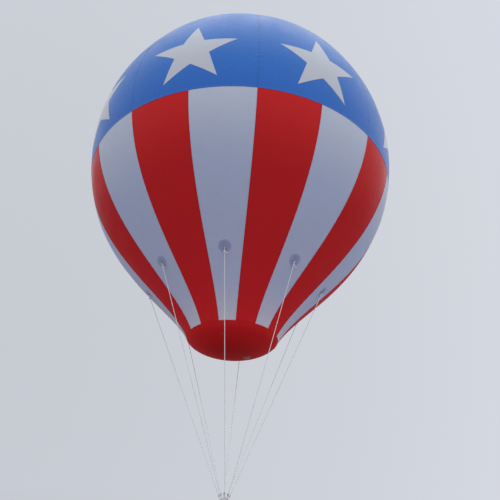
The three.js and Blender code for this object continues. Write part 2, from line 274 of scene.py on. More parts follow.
def gore_relief(azimuth, s, across):
    """A gore swells between its seams. Round a load patch its line pulls it flat and a little outwards,
    and folds fan up from there."""
    side = from_middle(azimuth, PAIR_ANGLE) * OUTLINE.at(s)[0]
    up = PATCH_S - s
    reach = np.hypot(side, up)
    angle = np.arctan2(side, up)
    swell = GORE_SWELL * (1 - across ** 2) * (1 - hump(reach, PULL_FLAT_REACH))
    lift = PULL_LIFT * hump(reach, PULL_LIFT_REACH)
    past_patch = np.clip((reach - PULL_FOLD_START) / PULL_FOLD_GROWTH, 0, 1)
    upper = np.clip(np.cos(PULL_FAN_NARROWING * angle), 0, 1)
    share = past_patch ** 2 * upper ** 2 * hump(reach, PULL_FOLD_REACH)
    folds = PULL_FOLD_HEIGHT * share * np.cos(PULL_FOLDS * angle + PULL_FAN_BEND * np.sin(angle))
    return (swell + lift + folds) * fade(s, OUTLINE.band, OUTLINE.cap, GORE_SWELL_END)


def relief(azimuth, s):
    """How far the film stands out from the outline: it swells between its seams and puckers beside them."""
    gap, across = seam_fields(azimuth, s)
    on_crown = CROWN_SWELL * fade(s, CROWN_DISC_S, OUTLINE.band, CROWN_SWELL_END) * (1 - across ** 2)
    on_cap = CAP_SWELL * np.clip(1 - (OUTLINE.at(s)[0] / CAP_SEAM_RADIUS) ** 2, 0, 1)
    on_gores = gore_relief(azimuth, s, across)
    swell = np.where(s < OUTLINE.band, on_crown, np.where(s > OUTLINE.cap, on_cap, on_gores))
    return swell + seam_puckers(azimuth, s, gap) + rim_puckers(azimuth, s)


def surface(azimuth, s, lift=0.0):
    """Points on the inflated envelope, lift outside its film."""
    radius, height, out_radius, out_height = OUTLINE.at(s)
    stand = relief(azimuth, s) + lift
    return around(np.maximum(radius + out_radius * stand, 0), height + out_height * stand, azimuth)


def tangent_frame(azimuth, s):
    """The point and the sideways, upward and outward directions on the outline."""
    radius, height, out_radius, out_height = (float(v) for v in OUTLINE.at(s))
    point = around(radius, height, azimuth)
    sideways = np.array([math.cos(azimuth), math.sin(azimuth), 0])
    outwards = around(out_radius, out_height, azimuth)
    return point, sideways, np.cross(outwards, sideways), outwards


FLAT_ABOVE = 0.05
FLAT_BELOW = 0.5
HALVINGS = 40


def from_flat(flat, azimuth, s):
    """Azimuths and distances of the places on the envelope straight behind a flat pattern's points.
    On the cap, which is nearly level, they are the places at the same radius."""
    point, sideways, upwards, outwards = tangent_frame(azimuth, s)
    start = point + flat[..., :1] * sideways + flat[..., 1:2] * upwards
    if s > OUTLINE.cap:
        radius, start_azimuth = polar(start)
        return start_azimuth, OUTLINE.at_cap_radius(radius)
    near = np.full(flat.shape[:-1], FLAT_ABOVE)
    far = np.full(flat.shape[:-1], -FLAT_BELOW)
    for _ in range(HALVINGS):
        middle = (near + far) / 2
        place = start + middle[..., None] * outwards
        outside = polar(place)[0] > OUTLINE.at(OUTLINE.at_height(place[..., 2]))[0]
        near = np.where(outside, middle, near)
        far = np.where(outside, far, middle)
    place = start + near[..., None] * outwards
    return polar(place)[1], OUTLINE.at_height(place[..., 2])


# Making meshes. A part is a pair: its points and its faces.

def make_piece(name, part, material, slot, body=BODY, replaces=(), sharp=40, **fields):
    """A mesh of the balloon. fields are numbers for each point that its material reads."""
    points, faces = part
    mesh = bpy.data.meshes.new(name)
    mesh.from_pydata([tuple(p) for p in np.asarray(points, float)], [], faces)
    mesh.polygons.foreach_set("use_smooth", [True] * len(mesh.polygons))
    mesh.set_sharp_from_angle(angle=math.radians(sharp))
    for field_name, values in fields.items():
        layer = mesh.attributes.new(field_name, "FLOAT", "POINT")
        layer.data.foreach_set("value", np.asarray(values, np.float32))
    mesh.materials.append(material)
    mesh.update()
    piece = bpy.data.objects.new(name, mesh)
    bpy.context.scene.collection.objects.link(piece)
    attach(piece, body)
    if replaces:
        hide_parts(*replaces)


def joined(parts):
    points, faces, start = [], [], 0
    for some_points, some_faces in parts:
        points.append(np.asarray(some_points, float).reshape(-1, 3))
        faces += [tuple(i + start for i in face) for face in some_faces]
        start += len(points[-1])
    return np.concatenate(points), faces


def moved(part, matrix):
    points, faces = part
    return points @ matrix[:3, :3].T + matrix[:3, 3], faces


def placed(origin, x, y, z):
    """A matrix that puts the origin and the three axes there."""
    matrix = np.eye(4)
    matrix[:3, :3] = np.stack([x, y, z], 1)
    matrix[:3, 3] = origin
    return matrix


INNER_STEP = 4


def closed_sheet(outer, inner):
    """A thin solid between two grids of points. The inner one has a column for each INNER_STEP outer ones."""
    rows, columns = outer.shape[:2]
    inner = inner[:, ::INNER_STEP]
    inner_columns = inner.shape[1]
    start = rows * columns
    faces = []
    for i in range(rows - 1):
        a, b = i * columns, (i + 1) * columns
        c, d = start + i * inner_columns, start + (i + 1) * inner_columns
        faces += [(a + j, b + j, b + j + 1, a + j + 1) for j in range(columns - 1)]
        faces += [(c + j, c + j + 1, d + j + 1, d + j) for j in range(inner_columns - 1)]
        faces.append((a, c, d, b))
        faces.append((b + columns - 1, d + inner_columns - 1, c + inner_columns - 1, a + columns - 1))
    for i, turn in ((0, 1), (rows - 1, -1)):
        for j in range(inner_columns - 1):
            edge = [i * columns + INNER_STEP * j + k for k in range(INNER_STEP + 1)]
            back = [start + i * inner_columns + j + 1, start + i * inner_columns + j]
            faces.append(tuple((edge + back)[::turn]))
    return np.concatenate([outer.reshape(-1, 3), inner.reshape(-1, 3)]), faces


def both_sides(grid):
    """A closed sheet's numbers for each point, from those of its outer grid."""
    return np.concatenate([grid.ravel(), grid[:, ::INNER_STEP].ravel()])


def round_sheet(outer, inner):
    """A thin round solid between two grids of points. Row 0 of each is its middle, and columns go round."""
    rings, sides = outer.shape[:2]
    layer_size = 1 + (rings - 1) * sides

    def at(layer, i, j):
        return layer * layer_size + (0 if i == 0 else 1 + (i - 1) * sides + j % sides)

    points = [np.concatenate([grid[0, :1], grid[1:].reshape(-1, 3)]) for grid in (outer, inner)]
    last = rings - 1
    faces = []
    for j in range(sides):
        faces.append((at(0, 0, 0), at(0, 1, j), at(0, 1, j + 1)))
        faces.append((at(1, 0, 0), at(1, 1, j + 1), at(1, 1, j)))
        for i in range(1, last):
            faces.append((at(0, i, j), at(0, i + 1, j), at(0, i + 1, j + 1), at(0, i, j + 1)))
            faces.append((at(1, i, j), at(1, i, j + 1), at(1, i + 1, j + 1), at(1, i + 1, j)))
        faces.append((at(0, last, j), at(1, last, j), at(1, last, j + 1), at(0, last, j + 1)))
    return np.concatenate(points), faces


def both_round(grid):
    """A round sheet's numbers for each point, from those of its outer grid."""
    return np.tile(np.concatenate([grid[0, :1], grid[1:].ravel()]), 2)


def rounded(corners, steps=5):
    """An outline of (radius, height) points from corners (radius, height, rounding)."""
    points = []
    for i, (x, y, rounding) in enumerate(corners):
        corner = np.array([x, y])
        if rounding == 0:
            points.append((x, y))
            continue
        before = unit(np.array(corners[i - 1][:2]) - corner)
        after = unit(np.array(corners[(i + 1) % len(corners)][:2]) - corner)
        half = math.acos(np.clip(before @ after, -1, 1)) / 2
        middle = corner + unit(before + after) * rounding / math.sin(half)
        first = corner + before * rounding / math.tan(half) - middle
        last = corner + after * rounding / math.tan(half) - middle
        for t in np.linspace(0, 1, steps):
            points.append(tuple(middle + rounding * unit(first * (1 - t) + last * t)))
    return points


ON_AXIS = 1e-9


def turned(profile, sides, wobble=None):
    """A closed outline of (radius, height) points turned round the Z axis, up its outer side.
    wobble gives what a radius is multiplied by, for its angle, radius and height."""
    angle = full_turn(sides)
    points, faces, rings = [], [], []
    for radius, height in profile:
        if radius < ON_AXIS:
            rings.append([len(points)] * sides)
            points.append((0, 0, height))
            continue
        rings.append(list(range(len(points), len(points) + sides)))
        swing = radius if wobble is None else radius * wobble(angle, radius, height)
        points += list(zip(swing * np.cos(angle), swing * np.sin(angle), np.full(sides, height)))
    for low, high in zip(rings, rings[1:] + rings[:1]):
        for j in range(sides):
            k = (j + 1) % sides
            face = [low[j], low[k], high[k], high[j]]
            face = [v for n, v in enumerate(face) if v != face[n - 1]]
            if len(face) > 2:
                faces.append(tuple(face))
    return np.array(points, float), faces


def smooth_path(points, step, closed=False):
    """Points about step apart on a smooth curve through the given ones."""
    points = np.asarray(points, float)
    if closed:
        points = np.concatenate([points[-1:], points, points[:2]])
    else:
        points = np.concatenate([2 * points[:1] - points[1:2], points, 2 * points[-1:] - points[-2:-1]])
    out = []
    for p0, p1, p2, p3 in zip(points, points[1:], points[2:], points[3:]):
        count = max(1, round(float(np.linalg.norm(p2 - p1)) / step))
        t = np.linspace(0, 1, count, endpoint=False)[:, None]
        out.append(0.5 * (2 * p1 + (p2 - p0) * t + (2 * p0 - 5 * p1 + 4 * p2 - p3) * t ** 2
                          + (3 * p1 - p0 - 3 * p2 + p3) * t ** 3))
    if not closed:
        out.append(points[-2:-1])
    return np.concatenate(out)


def path_sides(path, closed):
    """Two directions across a path at each of its points, carried along it without twist."""
    after, before = np.roll(path, -1, axis=0), np.roll(path, 1, axis=0)
    if not closed:
        after[-1], before[0] = path[-1], path[0]
    run = unit_rows(after - before)
    least = np.eye(3)[int(np.argmin(np.abs(run[0])))]
    side = [unit(np.cross(run[0], least))]
    for direction in run[1:]:
        side.append(unit(side[-1] - direction * (side[-1] @ direction)))
    side = np.array(side)
    return side, np.cross(run, side)


def swept(rings, closed=False):
    """A solid through rings of points, which go anticlockwise seen from its far end."""
    count, sides = rings.shape[:2]
    faces = []
    for i in range(count if closed else count - 1):
        a, b = i * sides, (i + 1) % count * sides
        faces += [(a + j, a + (j + 1) % sides, b + (j + 1) % sides, b + j) for j in range(sides)]
    if not closed:
        faces.append(tuple(range(sides))[::-1])
        faces.append(tuple((count - 1) * sides + j for j in range(sides)))
    return rings.reshape(-1, 3), faces


def tube(path, radius_at, sides, closed=False, lay=None):
    """A solid round a path. radius_at gives its radius at angles and distances, and lay is the length
    of one turn of its twist."""
    side, other = path_sides(path, closed)
    angle = full_turn(sides)[None, :]
    run = distances(path)[:, None]
    place = angle if lay is None else angle + 2 * math.pi * run / lay
    radius = radius_at(angle, run)
    across = (radius * np.cos(place))[..., None] * side[:, None]
    across_other = (radius * np.sin(place))[..., None] * other[:, None]
    return swept(path[:, None] + across + across_other, closed)


def even(radius):
    return lambda angle, run: radius + 0 * angle * run


# Materials

def node(tree, kind, inputs=None, **settings):
    made = tree.nodes.new(kind)
    for key, value in settings.items():
        setattr(made, key, value)
    for key, value in (inputs or {}).items():
        if isinstance(value, bpy.types.NodeSocket):
            tree.links.new(value, made.inputs[key])
        else:
            made.inputs[key].default_value = value
    return made


def new_material(name, **sockets):
    """A material and its node tree and shader. sockets are the shader's, with _ for a space in a name."""
    material = bpy.data.materials.new(name)
    material.use_nodes = True
    shader = material.node_tree.nodes["Principled BSDF"]
    for key, value in sockets.items():
        shader.inputs[key.replace("_", " ")].default_value = value
    return material, material.node_tree, shader


def feed(tree, shader, **sources):
    """Links the shader's sockets to what they vary with, with _ for a space in a name."""
    for key, source in sources.items():
        tree.links.new(source, shader.inputs[key.replace("_", " ")])


def colour(r, g, b):
    return (r, g, b, 1.0)


def math_node(tree, operation, a, b=0.0, clamp=False):
    return node(tree, "ShaderNodeMath", {0: a, 1: b}, operation=operation, use_clamp=clamp).outputs[0]


def added(tree, *values):
    total = values[0]
    for value in values[1:]:
        total = math_node(tree, "ADD", total, value)
    return total


def scaled(tree, value, factor):
    return math_node(tree, "MULTIPLY", value, factor)


def spread(tree, value, low, high, to_low=0.0, to_high=1.0):
    return node(tree, "ShaderNodeMapRange", {"Value": value, "From Min": low, "From Max": high,
                                             "To Min": to_low, "To Max": to_high}).outputs["Result"]


def noise(tree, place, scale, detail=3.0, roughness=0.5):
    return node(tree, "ShaderNodeTexNoise", {"Vector": place, "Scale": scale, "Detail": detail,
                                             "Roughness": roughness}).outputs["Fac"]


def mixed(tree, share, a, b, blend="MIX"):
    made = node(tree, "ShaderNodeMix", data_type="RGBA", blend_type=blend)
    for index, value in ((0, share), (6, a), (7, b)):
        if isinstance(value, bpy.types.NodeSocket):
            tree.links.new(value, made.inputs[index])
        else:
            made.inputs[index].default_value = value
    return made.outputs[2]


def ramp(tree, value, stops):
    """Colours along a value, from stops of (place, red, green, blue), from low to high."""
    low, high = stops[0][0], stops[-1][0]
    made = node(tree, "ShaderNodeValToRGB", {0: spread(tree, value, low, high)})
    elements = made.color_ramp.elements
    elements[0].color = colour(*stops[0][1:])
    elements[1].color = colour(*stops[-1][1:])
    for place, *shade in stops[1:-1]:
        elements.new((place - low) / (high - low)).color = colour(*shade)
    return made.outputs["Color"]


def place_of(tree):
    return node(tree, "ShaderNodeTexCoord").outputs["Object"]


def height_of(tree, place):
    return node(tree, "ShaderNodeSeparateXYZ", {0: place}).outputs["Z"]


def stretched(tree, place, x, y, z):
    return node(tree, "ShaderNodeMapping", {"Vector": place, "Scale": (x, y, z)}).outputs["Vector"]


def field(tree, name):
    return node(tree, "ShaderNodeAttribute", attribute_name=name).outputs["Fac"]


def bump(tree, shader, height, distance, strength=1.0):
    made = node(tree, "ShaderNodeBump", {"Height": height, "Distance": distance, "Strength": strength})
    feed(tree, shader, Normal=made.outputs["Normal"])


WELD_WIDTH = 0.011
WELD_EDGE = 0.002
WELD_RIB = 0.0024
FOLD_DOWN = 0.57
FOLD_ASIDE = 0.31
FOLD_OFFSET = 0.37
FOLD_WIDTH = 0.004
RIPPLE_REACH = 0.09
RIPPLE_STRETCH = (24, 24, 60)
SCUFF_ROUGHNESS = 0.13
FILM_RELIEF = 0.0010
NARROW_HEIGHT = -1.3
TIGHT_HEIGHT = -0.35
PATCH_RIM = 0.020
TWINE_PITCH = 0.0011


def fold_lines(tree, run, period):
    """1 on the creases that packing leaves, a period apart along the field run, and 0 beside them."""
    shifted = math_node(tree, "ADD", field(tree, run), period * FOLD_OFFSET)
    from_line = math_node(tree, "PINGPONG", shifted, period / 2)
    return spread(tree, from_line, 0.0, FOLD_WIDTH, 1.0, 0.0)


def weld(tree, gap, run):
    """A weld's band and its ribs, from the fields of the distances to it and along it."""
    band = spread(tree, field(tree, gap), WELD_WIDTH - WELD_EDGE, WELD_WIDTH, 1.0, 0.0)
    ribs = math_node(tree, "SINE", scaled(tree, field(tree, run), 2 * math.pi / WELD_RIB))
    return band, scaled(tree, ribs, band)


def film_colour(tree, place, painted_light_tints, in_weld, weld_painted_shade):
    """The colours by height, which hold painted light and shade, a little darker in broad clouds and under
    dust, and darker as painted shade where the film is double.
    """
    # Painted light and shade: the film's colour changes with height, as the light on it and through it does.
    base = ramp(tree, height_of(tree, place), painted_light_tints)
    clouds = spread(tree, noise(tree, place, 0.8, 2.0), 0.35, 0.7)
    dust = spread(tree, noise(tree, place, 11.0, 6.0, 0.65), 0.5, 0.75)
    # In the weld band the film is darkened as painted shade, for the light that its double layer keeps out.
    # The clouds and dust are its own tone.
    for share, grey in ((clouds, 0.955), (dust, 0.965), (in_weld, weld_painted_shade)):
        base = mixed(tree, share, base, colour(grey, grey, grey), "MULTIPLY")
    return base


def film_height(tree, place, side_ribs, end_ribs):
    """Creases in worn stretches, ribs on the welds, ripples beside them and a fine uneven skin."""
    worn = spread(tree, noise(tree, place, 1.7, 2.0), 0.4, 0.65)
    folds = math_node(tree, "MAXIMUM", fold_lines(tree, "down", FOLD_DOWN),
                      fold_lines(tree, "aside", FOLD_ASIDE))
    nearest_gap = math_node(tree, "MINIMUM", field(tree, "side_gap"), field(tree, "end_gap"))
    near_weld = spread(tree, nearest_gap, 0.0, RIPPLE_REACH, 1.0, 0.0)
    ripple = noise(tree, stretched(tree, place, *RIPPLE_STRETCH), 1.0, 2.0)
    skin = noise(tree, place, 38.0)
    layers = ((scaled(tree, folds, worn), 0.30), (side_ribs, 0.07), (end_ribs, 0.07),
              (scaled(tree, ripple, near_weld), 0.6), (skin, 0.05))
    return added(tree, *(scaled(tree, layer, share) for layer, share in layers))


def film_material(name, painted_light_tints, gloss, rough, weld_painted_shade):
    """PVC film. Its colours by height hold painted light and shade: lighter or darker with height as light
    falls on it and shines through it, and bluish from the sky's light. rough is its roughness where it
    narrows to the cap, and above that where it is stretched tight."""
    material, tree, shader = new_material(name, Specular_IOR_Level=gloss)
    place = place_of(tree)
    in_side_weld, side_ribs = weld(tree, "side_gap", "down")
    in_end_weld, end_ribs = weld(tree, "end_gap", "around")
    in_weld = math_node(tree, "MAXIMUM", in_side_weld, in_end_weld)
    skin_rough = spread(tree, height_of(tree, place), NARROW_HEIGHT, TIGHT_HEIGHT, *rough)
    scuffs = spread(tree, noise(tree, place, 3.1, 6.0, 0.65), 0.35, 0.7, 0.0, SCUFF_ROUGHNESS)
    feed(tree, shader, Base_Color=film_colour(tree, place, painted_light_tints, in_weld, weld_painted_shade),
         Roughness=added(tree, skin_rough, scuffs))
    bump(tree, shader, film_height(tree, place, side_ribs, end_ribs), FILM_RELIEF)
    return material


def patch_material():
    """Reinforced PVC: fabric-backed, duller and greyer than the film, its scrim showing faintly."""
    material, tree, shader = new_material("patch_pvc", Specular_IOR_Level=0.3)
    place = place_of(tree)
    tone = noise(tree, place, 34.0, 4.0, 0.6)
    base = mixed(tree, spread(tree, tone, 0.3, 0.7), colour(0.32, 0.34, 0.53), colour(0.36, 0.39, 0.59))
    rim = spread(tree, field(tree, "end_gap"), 0.001, PATCH_RIM, 0.55, 0.0)
    feed(tree, shader, Base_Color=mixed(tree, rim, base, colour(0.47, 0.50, 0.67)),
         Roughness=spread(tree, tone, 0.3, 0.7, 0.42, 0.58))
    scrim = node(tree, "ShaderNodeTexVoronoi", {"Vector": place, "Scale": 700.0}).outputs["Distance"]
    bump(tree, shader, scrim, 0.0004, 0.6)
    return material


def yarn_material(name, base, dark, thread, slope, fuzz):
    """Yarn, from its own coordinates: ribs a thread apart, which cross the length by slope. Between the ribs
    its darker colour is painted shade in the grooves between threads, and the fluff varies it at random.
    """
    material, tree, shader = new_material(name, Roughness=0.75, Specular_IOR_Level=0.3, Sheen_Weight=fuzz,
                                          Sheen_Roughness=0.5)
    along = scaled(tree, field(tree, "along"), 2 * math.pi / thread)
    across = scaled(tree, field(tree, "across"), 2 * math.pi * slope / thread)
    ribs = spread(tree, math_node(tree, "SINE", added(tree, along, across)), -1.0, 1.0)
    fluff = noise(tree, place_of(tree), 900.0, 4.0, 0.65)
    share = added(tree, scaled(tree, ribs, 0.6), scaled(tree, fluff, 0.4))
    # Painted shade: darker in the grooves between the ribs.
    feed(tree, shader, Base_Color=mixed(tree, share, dark, base))
    bump(tree, shader, share, 0.0005)
    return material


def steel_material(name, base, rough, spangle):
    """Galvanised steel: a patchy spangle, fine scratches and dull spots."""
    material, tree, shader = new_material(name, Metallic=1.0)
    place = place_of(tree)
    cells = node(tree, "ShaderNodeTexVoronoi", {"Vector": place, "Scale": spangle}).outputs["Color"]
    grey = node(tree, "ShaderNodeSeparateColor", {0: cells}).outputs[0]
    tint = mixed(tree, spread(tree, grey, 0.0, 1.0, 0.0, 0.22), base, colour(0.80, 0.81, 0.82))
    stain = noise(tree, place, 55.0, 5.0, 0.7)
    tint = mixed(tree, spread(tree, stain, 0.55, 0.75, 0.0, 0.4), tint, colour(0.25, 0.25, 0.25))
    scratch = noise(tree, stretched(tree, place, 900, 900, 60), 1.0)
    worn = added(tree, scaled(tree, stain, 0.25), scaled(tree, scratch, 0.15))
    feed(tree, shader, Base_Color=tint, Roughness=math_node(tree, "ADD", worn, rough - 0.2, True))
    bump(tree, shader, added(tree, scratch, stain), 0.00012)
    return material


def plastic_material(name, base, dark):
    """Moulded plastic with a satin skin, patches of dust and a fine eggshell texture."""
    material, tree, shader = new_material(name, Specular_IOR_Level=0.2)
    place = place_of(tree)
    dust = noise(tree, place, 70.0, 5.0, 0.65)
    feed(tree, shader, Base_Color=mixed(tree, spread(tree, dust, 0.4, 0.7, 0.0, 0.5), base, dark),
         Roughness=spread(tree, dust, 0.3, 0.7, 0.36, 0.55))
    bump(tree, shader, noise(tree, place, 1400.0, 2.0), 0.00008)
    return material


# The films' colours by height, with painted light and shade in them, are (height, red, green, blue).
WHITE_FILM = film_material("white_film", [
    (-2.55, 0.67, 0.62, 0.69),
    (-2.20, 0.54, 0.56, 0.74),
    (-1.20, 0.49, 0.54, 0.72),
    (-0.35, 0.585, 0.62, 0.71),
], gloss=0.14, rough=(0.60, 0.20), weld_painted_shade=0.92)
STAR_FILM = film_material("star_film", [
    (-0.40, 0.58, 0.60, 0.64),
    (0.80, 0.60, 0.63, 0.67),
], gloss=0.32, rough=(0.60, 0.12), weld_painted_shade=0.97)
RED_FILM = film_material("red_film", [
    (-2.69, 0.47, 0.006, 0.007),
    (-2.64, 0.62, 0.010, 0.011),
    (-2.56, 0.715, 0.017, 0.019),
    (-2.50, 0.67, 0.018, 0.021),
    (-2.10, 0.655, 0.018, 0.022),
    (-1.20, 0.585, 0.017, 0.019),
    (-0.35, 0.69, 0.021, 0.021),
], gloss=0.06, rough=(0.60, 0.10), weld_painted_shade=0.90)
BLUE_FILM = film_material("blue_film", [
    (-0.40, 0.016, 0.148, 0.57),
    (0.50, 0.024, 0.182, 0.595),
    (2.16, 0.046, 0.190, 0.600),
], gloss=0.26, rough=(0.60, 0.22), weld_painted_shade=0.87)
PATCH_PVC = patch_material()
ROPE_YARN = yarn_material("rope_yarn", colour(0.98, 0.98, 0.97), colour(0.88, 0.88, 0.88), 0.0021, 1.0, 0.15)
WEBBING = yarn_material("webbing_weave", colour(0.35, 0.40, 0.52), colour(0.24, 0.28, 0.39), 0.0016, 0.8, 0.1)
TWINE = yarn_material("twine", colour(0.72, 0.71, 0.68), colour(0.50, 0.49, 0.47), TWINE_PITCH, 0.0, 0.1)
RING_STEEL = steel_material("ring_steel", colour(0.54, 0.55, 0.57), 0.38, 420.0)
SWIVEL_STEEL = steel_material("swivel_steel", colour(0.48, 0.49, 0.51), 0.34, 330.0)
VALVE_PLASTIC = plastic_material("valve_plastic", colour(0.52, 0.13, 0.12), colour(0.36, 0.09, 0.09))


# Envelope panels

FILM = 0.0008
LAP = 0.012
LAP_SLOPE = 0.004
LAP_LIFT = 0.0010
RIM_LIFT = 0.0021
UNDERLAP = 0.008
CROWN_ROWS = 280
GORE_ROWS = 220
CROWN_MIDDLE_COLUMNS = 20
WHITE_MIDDLE_COLUMNS = 20
RED_MIDDLE_COLUMNS = 12
NEAR_SEAM = (0.0, 0.004, 0.008, 0.012, 0.019, 0.030, 0.048, 0.075)
NEAR_END = (0.002, 0.006, 0.010, 0.014)
LEAST_STEP = 0.002


def columns_across(half_width, middle_count):
    """Places across a panel from -1 to 1, close together beside its seams, in whole inner steps."""
    edge = [1 - gap / half_width for gap in NEAR_SEAM]
    while (2 * len(edge) + middle_count - 1) % INNER_STEP:
        middle_count += 1
    middle = np.linspace(-edge[-1], edge[-1], middle_count + 2)[1:-1]
    return np.concatenate([-np.array(edge), middle, edge[::-1]])


def rows_down(start, end, count):
    """Distances down a panel, close together at its welded ends."""
    near = np.array(NEAR_END)
    clear = near[-1] + LEAST_STEP
    middle = np.linspace(start, end, count + 1)
    middle = middle[(middle > start + clear) & (middle < end - clear)]
    return np.concatenate([[start], start + near, middle, (end - near)[::-1], [end]])


def lap_step(gap, lift):
    """How far film is lifted where it lies on its neighbour, at distances from its edge."""
    return lift * np.clip((LAP + LAP_SLOPE / 2 - gap) / LAP_SLOPE, 0, 1)


def make_film(name, part, whole, material, slot, replaces, **fields):
    """A piece of film. fields are for its outer grid's points, and whole takes them to all of them."""
    make_piece(name, part, material, slot, replaces=replaces,
               **{key: whole(values) for key, values in fields.items()})


def make_panel(name, middle, half_angle, start, end, rows, middle_columns, material, slot, laps):
    """One welded panel. laps names its sides that lie on their neighbours: left, right and bottom.
    The others reach a little way under them."""
    s = rows_down(start, end, rows)[:, None]
    radius = OUTLINE.at(s)[0]
    half = half_angle(s)
    across = columns_across(float((radius * half).max()), middle_columns)[None, :]
    azimuth = middle + across * half
    side_gap = (1 - np.abs(across)) * half * radius
    end_gap = np.minimum(s - start, end - s) + 0 * azimuth
    aside = across * half * radius
    lift = 0 * azimuth
    for side, sign in (("left", -1), ("right", 1)):
        if side in laps:
            lift = np.where(across * sign > 0, lap_step(side_gap, LAP_LIFT), lift)
        else:
            azimuth = azimuth + np.where(across == sign, sign * UNDERLAP / radius, 0)
    distance = s + 0 * azimuth
    distance[0] -= UNDERLAP
    if "bottom" in laps:
        lift = np.maximum(lift, lap_step(end - distance, RIM_LIFT))
    else:
        distance[-1] += UNDERLAP
    sheet = closed_sheet(surface(azimuth, distance, lift), surface(azimuth, distance, lift - FILM))
    make_film(f"{name}_film", sheet, both_sides, material, slot, [name], side_gap=side_gap, end_gap=end_gap,
              down=distance, aside=aside, around=aside)


def make_panels():
    for i in range(PAIRS):
        number = i + 1
        white_middle = i * PAIR_ANGLE
        make_panel(f"crown_panel_{number}", white_middle + CROWN_TURN, crown_half_angle, CROWN_DISC_S,
                   OUTLINE.band, CROWN_ROWS, CROWN_MIDDLE_COLUMNS, BLUE_FILM, "pvc_blue", ("right", "bottom"))
        make_panel(f"white_gore_{number}", white_middle, white_half_angle, OUTLINE.band, OUTLINE.cap,
                   GORE_ROWS, WHITE_MIDDLE_COLUMNS, WHITE_FILM, "pvc_white", ())
        make_panel(f"red_gore_{number}", white_middle + GORE_ANGLE, red_half_angle, OUTLINE.band, OUTLINE.cap,
                   GORE_ROWS, RED_MIDDLE_COLUMNS, RED_FILM, "pvc_red", ("left", "right"))


CAP_RINGS = 44
CAP_SIDES = 288
DISC_RINGS = 10
DISC_SIDES = 96
DISC_LAP = 0.010
NEAR_RIM = (0.0, 0.001, 0.006, 0.010, 0.014)


def make_round_end(name, pole, rim, rings, sides, material, slot):
    """The cap or the crown's disc: a round sheet from the pole out to its rim, which laps on the panels."""
    inwards = 1 if pole > rim else -1
    near = rim + inwards * np.array(NEAR_RIM)
    s = np.linspace(pole, rim, rings + 1)
    s = np.concatenate([s[np.abs(s - rim) > NEAR_RIM[-1] + LEAST_STEP], near[::-1]])[:, None]
    azimuth = full_turn(sides)[None, :]
    distance = s + 0 * azimuth
    gap = np.abs(distance - rim)
    lift = lap_step(gap, RIM_LIFT)
    points, faces = round_sheet(surface(azimuth, distance, lift), surface(azimuth, distance, lift - FILM))
    if inwards > 0:
        faces = [face[::-1] for face in faces]
    rim_radius = float(OUTLINE.at(rim)[0])
    aside = np.abs(from_middle(azimuth, 2 * math.pi)) * rim_radius + 0 * gap
    make_film(f"{name}_film", (points, faces), both_round, material, slot, [name],
              side_gap=0 * gap + FAR_FROM_SEAM, end_gap=gap, down=distance, aside=aside, around=aside)


APPLIED_RIM = 0.3
APPLIED_SLOPE = 1.5


def make_applied_film(name, outline, shares, azimuth, s, thickness, material, slot, replaces):
    """Film welded onto the envelope: a flat outline drawn on it, and shrunk in rings to its middle.
    It rises to its thickness over a short slope at its rim."""
    shares = np.array(shares)[:, None]
    flat = shares[..., None] * outline[None]
    place_azimuth, place_s = from_flat(flat, azimuth, s)
    rim_gap = (1 - shares) * np.linalg.norm(outline, axis=1)[None, :]
    lift = thickness * np.clip(APPLIED_RIM + rim_gap / (APPLIED_SLOPE * thickness), 0, 1)
    part = round_sheet(surface(place_azimuth, place_s, lift), surface(place_azimuth, place_s, 0 * lift))
    run = distances(outline)
    make_film(name, part, both_round, material, slot, replaces, side_gap=0 * rim_gap + FAR_FROM_SEAM,
              end_gap=rim_gap, down=flat[..., 1], aside=flat[..., 0],
              around=np.minimum(run, run[-1] - run) + 0 * rim_gap)


STAR_POINTS = 5
STAR_HEIGHT = 0.211
STAR_TIP_RADIUS = 0.548
STAR_INNER_RADIUS = 0.222
STAR_THICKNESS = 0.0012
STAR_EDGE_STEPS = 9
STAR_SHARES = (*np.linspace(0, 0.975, 15), 0.988, 0.996, 1.0)


def star_outline():
    """A star with its first tip upwards, and points along its straight edges."""
    radius = np.tile([STAR_TIP_RADIUS, STAR_INNER_RADIUS], STAR_POINTS)[:, None]
    corners = radius * arc(1, 90, 450, 2 * STAR_POINTS + 1)[:-1]
    t = np.linspace(0, 1, STAR_EDGE_STEPS, endpoint=False)[:, None]
    return np.concatenate([a + (b - a) * t for a, b in zip(corners, np.roll(corners, -1, axis=0))])


def make_stars():
    star_s = float(OUTLINE.at_height(STAR_HEIGHT))
    for i in range(PAIRS):
        make_applied_film(f"star_{i + 1}_film", star_outline(), STAR_SHARES, i * PAIR_ANGLE + CROWN_TURN,
                          star_s, STAR_THICKNESS, STAR_FILM, "pvc_white", [f"star_{i + 1}"])


# Load patches, each with a folded webbing strap and a D-ring

PATCH_THICKNESS = 0.0013
PATCH_SHARES = (*np.linspace(0, 0.9, 8), 0.95, 0.975, 0.99, 1.0)
PATCH_SIDES = 72
STRAP_WIDTH = 0.030
STRAP_THICKNESS = 0.0016
STRAP_TOP = 0.044
STRAP_STEP = 0.0022
STRAP_PLY = 1.15 * STRAP_THICKNESS
STRAP_TOUCH = 0.0002
STRAP_INSET = 0.002
STRAP_LOOP = (-110, -275)
# The strap beside the D-ring's bar: how far above it, and on the way back how far off the lower ply
STRAP_DOWN = (0.036, 0.016)
STRAP_BACK = ((0.013, 0.0016), (0.021, 0.0001), (0.038, 0.0))
